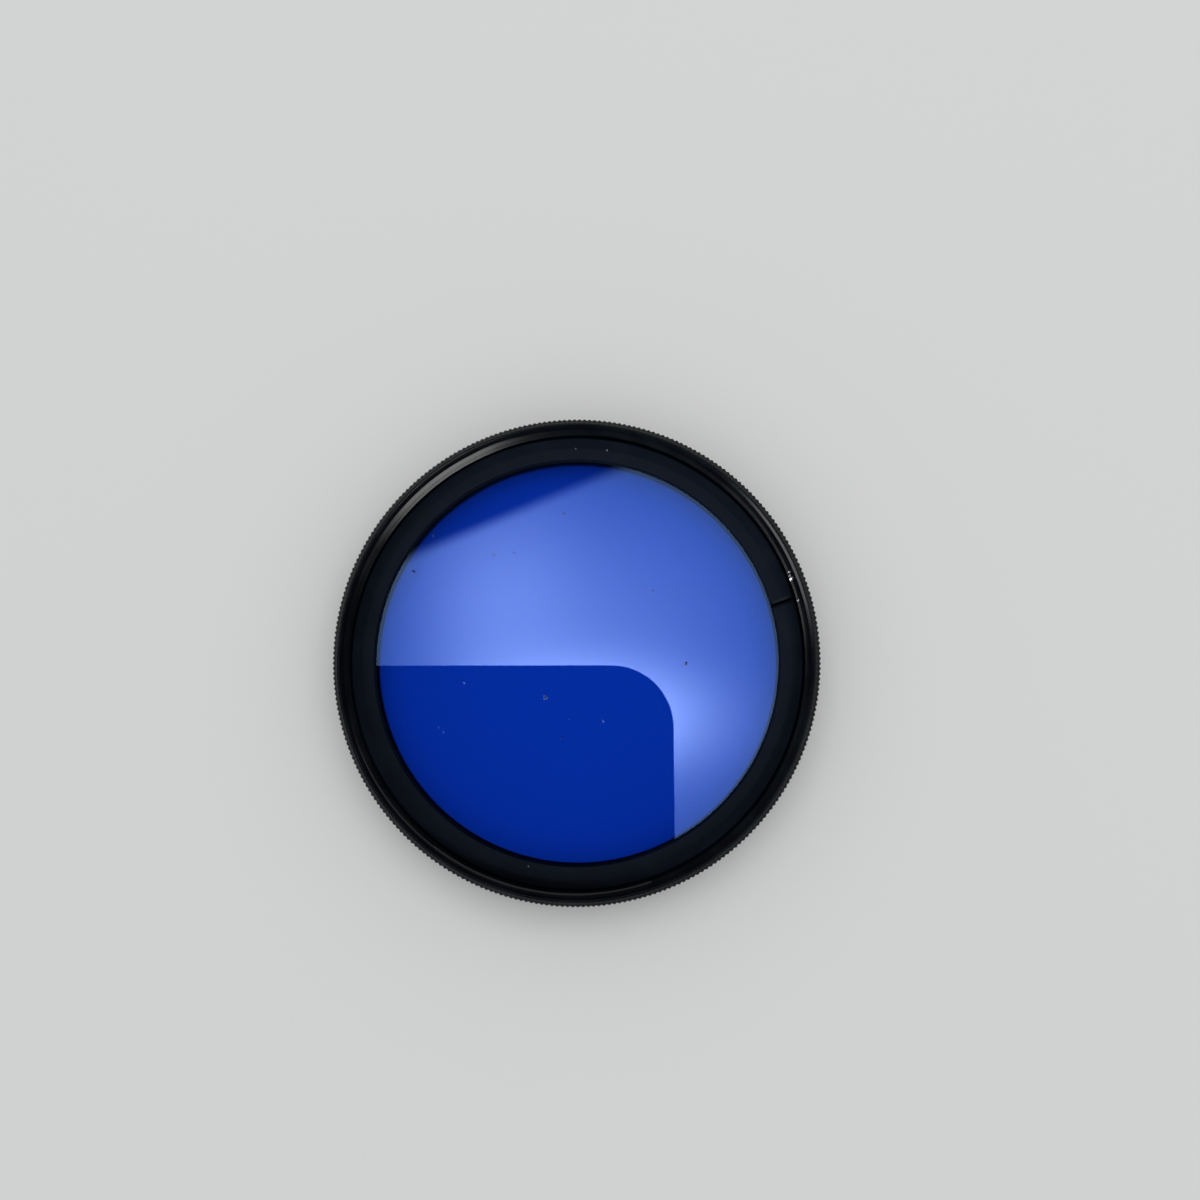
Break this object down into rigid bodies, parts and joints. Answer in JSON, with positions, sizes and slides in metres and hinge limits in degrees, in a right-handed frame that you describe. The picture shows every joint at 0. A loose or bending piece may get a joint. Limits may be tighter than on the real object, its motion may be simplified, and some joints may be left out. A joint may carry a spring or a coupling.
{
  "type": "color conversion filter",
  "caption": "Round screw-in color conversion filter: deep blue glass disc held by a split retaining ring in a black knurled aluminium ring with front and rear threads.",
  "frame": {"origin": "on the filter's axis, at the rear end of the male thread, which is the bottom of the part as it lies", "axes": "+Z along the filter's axis and out of its front, the side with the female thread; +X is 15.7 degrees clockwise of the retaining ring's split, seen from the front"},
  "size_m": [0.0572, 0.0572, 0.0078],
  "materials": {
    "black_anodised": "satin black anodised aluminium, bright where chipped",
    "black_retainer": "matt black anodised aluminium",
    "blue_glass": "polished deep blue optical glass, uncoated"
  },
  "bodies": {
    "root": {"filter_ring": "black_anodised", "filter_glass": "blue_glass", "retaining_ring": "black_retainer"}
  },
  "joints": []
}
